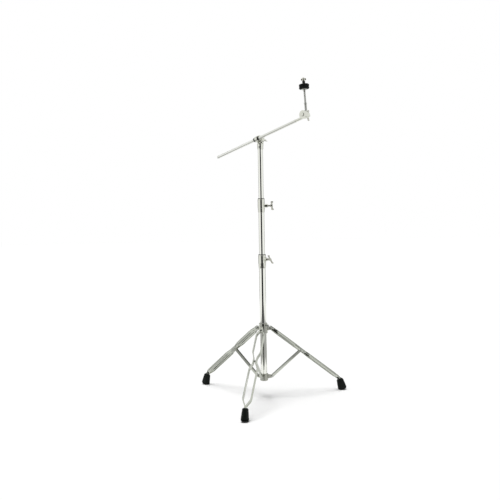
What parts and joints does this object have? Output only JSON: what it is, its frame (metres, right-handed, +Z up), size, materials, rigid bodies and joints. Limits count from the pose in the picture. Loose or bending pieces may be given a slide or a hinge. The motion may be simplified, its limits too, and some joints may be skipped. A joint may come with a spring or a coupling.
{
  "type": "cymbal boom stand",
  "caption": "Folding double-braced tripod stand with telescoping tubes, a tilting and sliding boom arm and a tilting felted cymbal seat.",
  "frame": {"origin": "the pole's axis at floor level, in the plane of the three feet", "axes": "+Z up along the pole; +X to the right and -Y towards the viewer in the stand's usual front view, with the boom rising to the right"},
  "size_m": [0.6687, 0.6504, 1.348],
  "materials": {
    "chromed_tube": "mirror chrome on steel tube",
    "chromed_strip": "chromed pressed steel strip",
    "chromed_casting": "chromed die casting",
    "boom_chrome": "chromed rod, knurled rear half",
    "plated_wing": "plated cast wings",
    "plated_steel": "zinc plated",
    "steel_sleeve": "turned steel",
    "black_nylon": "moulded nylon",
    "foot_rubber": "matt moulded rubber",
    "pad_felt": "pressed wool felt"
  },
  "bodies": {
    "base": {"base_tube": "chromed_tube", "base_tube_plug": "black_nylon", "lower_hub": "chromed_casting", "hub_pins": "plated_steel", "lower_clamp": "chromed_casting"},
    "collar": {"leg_collar": "chromed_casting", "collar_liner": "black_nylon", "collar_pins": "plated_steel"},
    "collar_lock": {"collar_lock_bolt": "plated_steel"},
    "lower_swivel": {"lower_bushing": "black_nylon"},
    "lower_wing": {"lower_wing_bolt": "plated_wing"},
    "middle": {"middle_tube": "chromed_tube", "upper_clamp": "chromed_casting"},
    "upper_swivel": {"upper_bushing": "black_nylon"},
    "upper_wing": {"upper_wing_bolt": "plated_wing"},
    "top": {"top_tube": "chromed_tube", "tilter_base": "chromed_casting", "ferrule_screw": "plated_steel", "tilter_washer": "plated_steel"},
    "boom_tilter": {"tilter_head": "chromed_casting", "tilter_eye_bolt": "chromed_casting"},
    "tilter_wing": {"tilter_wing_nut": "plated_wing"},
    "boom_roller": {"boom_sleeve": "steel_sleeve"},
    "boom": {"boom_rod": "boom_chrome", "tip_disc": "chromed_casting", "tip_bolt": "chromed_casting"},
    "tip_wing": {"tip_wing_nut": "plated_wing"},
    "seat": {"seat_tilter": "chromed_casting", "cymbal_rod": "plated_steel", "cup_washer": "plated_steel", "seat_sleeve": "black_nylon", "lower_felt": "pad_felt"},
    "upper_pad": {"upper_felt": "pad_felt", "top_washer": "plated_steel"},
    "top_nut": {"top_wing_nut": "plated_wing"},
    "leg_1": {"leg_1_strip_left": "chromed_strip", "leg_1_strip_right": "chromed_strip", "leg_1_rivets": "plated_steel", "foot_1": "foot_rubber"},
    "brace_1": {"brace_1": "chromed_strip"},
    "leg_2": {"leg_2_strip_left": "chromed_strip", "leg_2_strip_right": "chromed_strip", "leg_2_rivets": "plated_steel", "foot_2": "foot_rubber"},
    "brace_2": {"brace_2": "chromed_strip"},
    "leg_3": {"leg_3_strip_left": "chromed_strip", "leg_3_strip_right": "chromed_strip", "leg_3_rivets": "plated_steel", "foot_3": "foot_rubber"},
    "brace_3": {"brace_3": "chromed_strip"}
  },
  "joints": [
    {"name": "collar_slide", "type": "slide", "parent": "base", "child": "collar", "axis": [0, 0, 1], "range_m": [0, 0.13067]},
    {"name": "leg_1_fold", "type": "hinge", "parent": "collar", "child": "leg_1", "pos_m": [0.03516, 0.01153, 0.3], "axis": [-0.3115, 0.9502, 0], "range_deg": [-0.05, 44.35]},
    {"name": "brace_1_fold", "type": "hinge", "parent": "base", "child": "brace_1", "pos_m": [0.03516, 0.01153, 0.08902], "axis": [-0.3115, 0.9502, 0], "range_deg": [-44.35, 0.05]},
    {"name": "leg_2_fold", "type": "hinge", "parent": "collar", "child": "leg_2", "pos_m": [-0.02756, 0.02469, 0.3], "axis": [-0.6672, -0.7449, 0], "range_deg": [-0.05, 44.35]},
    {"name": "brace_2_fold", "type": "hinge", "parent": "base", "child": "brace_2", "pos_m": [-0.02756, 0.02469, 0.08902], "axis": [-0.6672, -0.7449, 0], "range_deg": [-44.35, 0.05]},
    {"name": "leg_3_fold", "type": "hinge", "parent": "collar", "child": "leg_3", "pos_m": [-0.0076, -0.03621, 0.3], "axis": [0.9787, -0.2053, 0], "range_deg": [-0.05, 44.35]},
    {"name": "brace_3_fold", "type": "hinge", "parent": "base", "child": "brace_3", "pos_m": [-0.0076, -0.03621, 0.08902], "axis": [0.9787, -0.2053, 0], "range_deg": [-44.35, 0.05]},
    {"name": "collar_lock_turn", "type": "hinge", "parent": "collar", "child": "collar_lock", "pos_m": [0, 0, 0.316], "axis": [0.7431, -0.6691, 0], "continuous": true},
    {"name": "lower_swivel_turn", "type": "hinge", "parent": "base", "child": "lower_swivel", "pos_m": [0, 0, 0.62202], "axis": [0, 0, 1], "continuous": true},
    {"name": "middle_height", "type": "slide", "parent": "lower_swivel", "child": "middle", "axis": [0, 0, 1], "range_m": [-0.18, 0.19]},
    {"name": "lower_wing_turn", "type": "hinge", "parent": "base", "child": "lower_wing", "pos_m": [0, 0, 0.60302], "axis": [0.766, -0.6428, 0], "continuous": true},
    {"name": "upper_swivel_turn", "type": "hinge", "parent": "middle", "child": "upper_swivel", "pos_m": [0, 0, 0.86402], "axis": [0, 0, 1], "continuous": true},
    {"name": "top_height", "type": "slide", "parent": "upper_swivel", "child": "top", "axis": [0, 0, 1], "range_m": [-0.205, 0.155]},
    {"name": "upper_wing_turn", "type": "hinge", "parent": "middle", "child": "upper_wing", "pos_m": [0, 0, 0.83402], "axis": [0.9945, -0.1045, 0], "continuous": true},
    {"name": "boom_tilt", "type": "hinge", "parent": "top", "child": "boom_tilter", "pos_m": [0, 0, 1.11982], "axis": [0.6428, 0.766, 0], "range_deg": [-62, 72]},
    {"name": "tilter_wing_turn", "type": "hinge", "parent": "boom_tilter", "child": "tilter_wing", "pos_m": [0, 0, 1.11982], "axis": [0.6428, 0.766, 0], "continuous": true},
    {"name": "boom_roll", "type": "hinge", "parent": "boom_tilter", "child": "boom_roller", "pos_m": [-0.01286, -0.01532, 1.11982], "axis": [0.7417, -0.6224, 0.2499], "continuous": true},
    {"name": "boom_slide", "type": "slide", "parent": "boom_roller", "child": "boom", "axis": [0.7417, -0.6224, 0.2499], "range_m": [-0.19, 0.2]},
    {"name": "seat_tilt", "type": "hinge", "parent": "boom", "child": "seat", "pos_m": [0.18913, -0.1587, 1.19448], "axis": [0.6428, 0.766, 0], "range_deg": [-55, 75]},
    {"name": "tip_wing_turn", "type": "hinge", "parent": "boom", "child": "tip_wing", "pos_m": [0.18913, -0.1587, 1.19448], "axis": [0.6428, 0.766, 0], "continuous": true},
    {"name": "upper_pad_lift", "type": "slide", "parent": "seat", "child": "upper_pad", "axis": [-0.0641, 0.0538, 0.9965], "range_m": [0, 0.006]},
    {"name": "top_nut_turn", "type": "hinge", "parent": "seat", "child": "top_nut", "pos_m": [0.18933, -0.15847, 1.19448], "axis": [-0.0641, 0.0538, 0.9965], "continuous": true}
  ],
  "couplings": [
    {"joint": "leg_1_fold", "follows": "collar_slide", "rad_per_m": 5.9172},
    {"joint": "brace_1_fold", "follows": "collar_slide", "rad_per_m": -5.9172},
    {"joint": "leg_2_fold", "follows": "collar_slide", "rad_per_m": 5.9172},
    {"joint": "brace_2_fold", "follows": "collar_slide", "rad_per_m": -5.9172},
    {"joint": "leg_3_fold", "follows": "collar_slide", "rad_per_m": 5.9172},
    {"joint": "brace_3_fold", "follows": "collar_slide", "rad_per_m": -5.9172}
  ]
}
